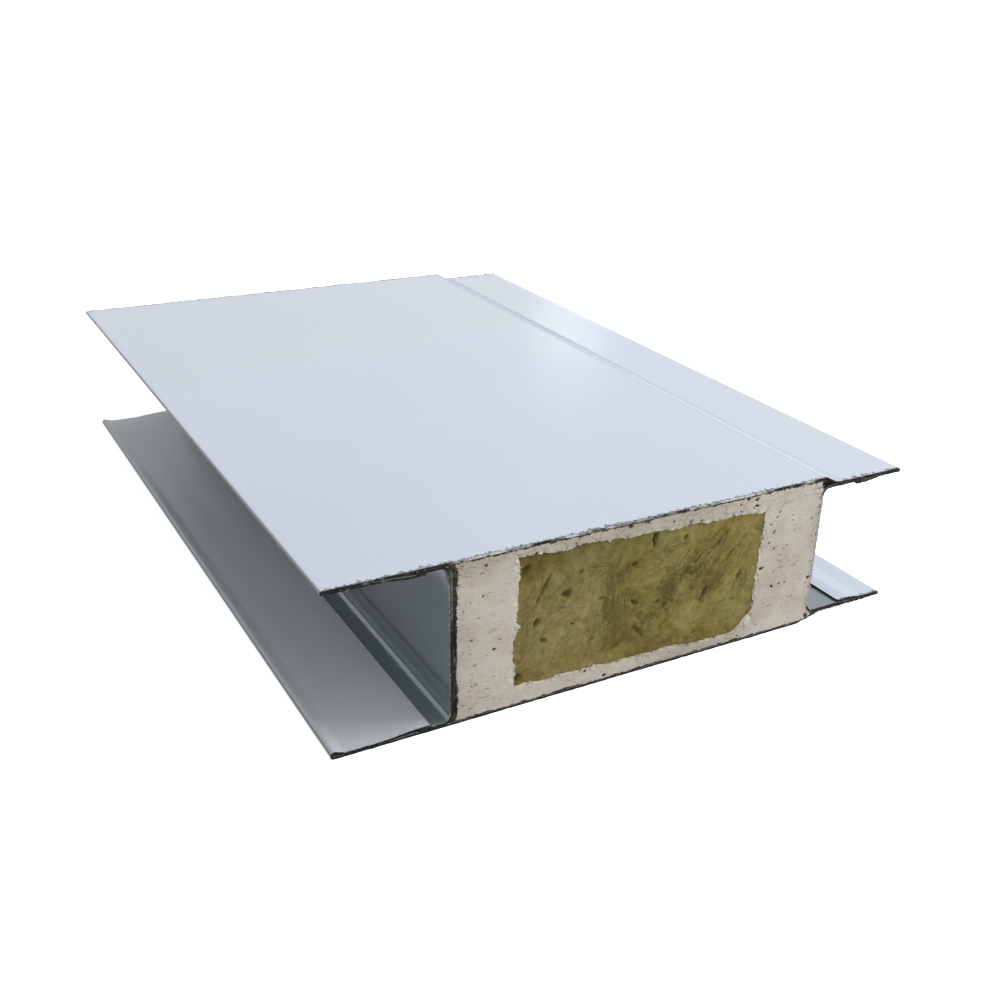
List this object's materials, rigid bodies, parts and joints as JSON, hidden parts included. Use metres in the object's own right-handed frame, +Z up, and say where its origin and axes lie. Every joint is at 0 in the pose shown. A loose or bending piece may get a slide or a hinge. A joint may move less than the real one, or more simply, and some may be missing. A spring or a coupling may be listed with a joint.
{
  "type": "insulated sandwich panel",
  "caption": "Short sawn length of a steel-faced sandwich panel with a cast cement surround, a rock wool batt, edge channels and a male and a female edge.",
  "frame": {"origin": "centre of the panel's bottom, on the outer face of the bottom facing", "axes": "+X across the panel from the female edge to the male edge, +Y along the panel's length away from the sawn front end, +Z up through the thickness"},
  "size_m": [0.1918, 0.275, 0.05],
  "materials": {
    "facing_paint": "semi-gloss white polyester coating on galvanized steel",
    "channel_steel": "glossy grey back-coated galvanized steel",
    "cast_cement": "foamed magnesium cement, cream, saw-cut and pitted",
    "rock_wool": "bonded mineral fibre, olive brown, loose strands at the cut"
  },
  "bodies": {
    "root": {"bottom_facing": "facing_paint", "top_facing": "facing_paint", "female_edge_channel": "channel_steel", "male_edge_channel": "channel_steel", "cast_surround": "cast_cement", "rock_wool_batt": "rock_wool"}
  },
  "joints": []
}
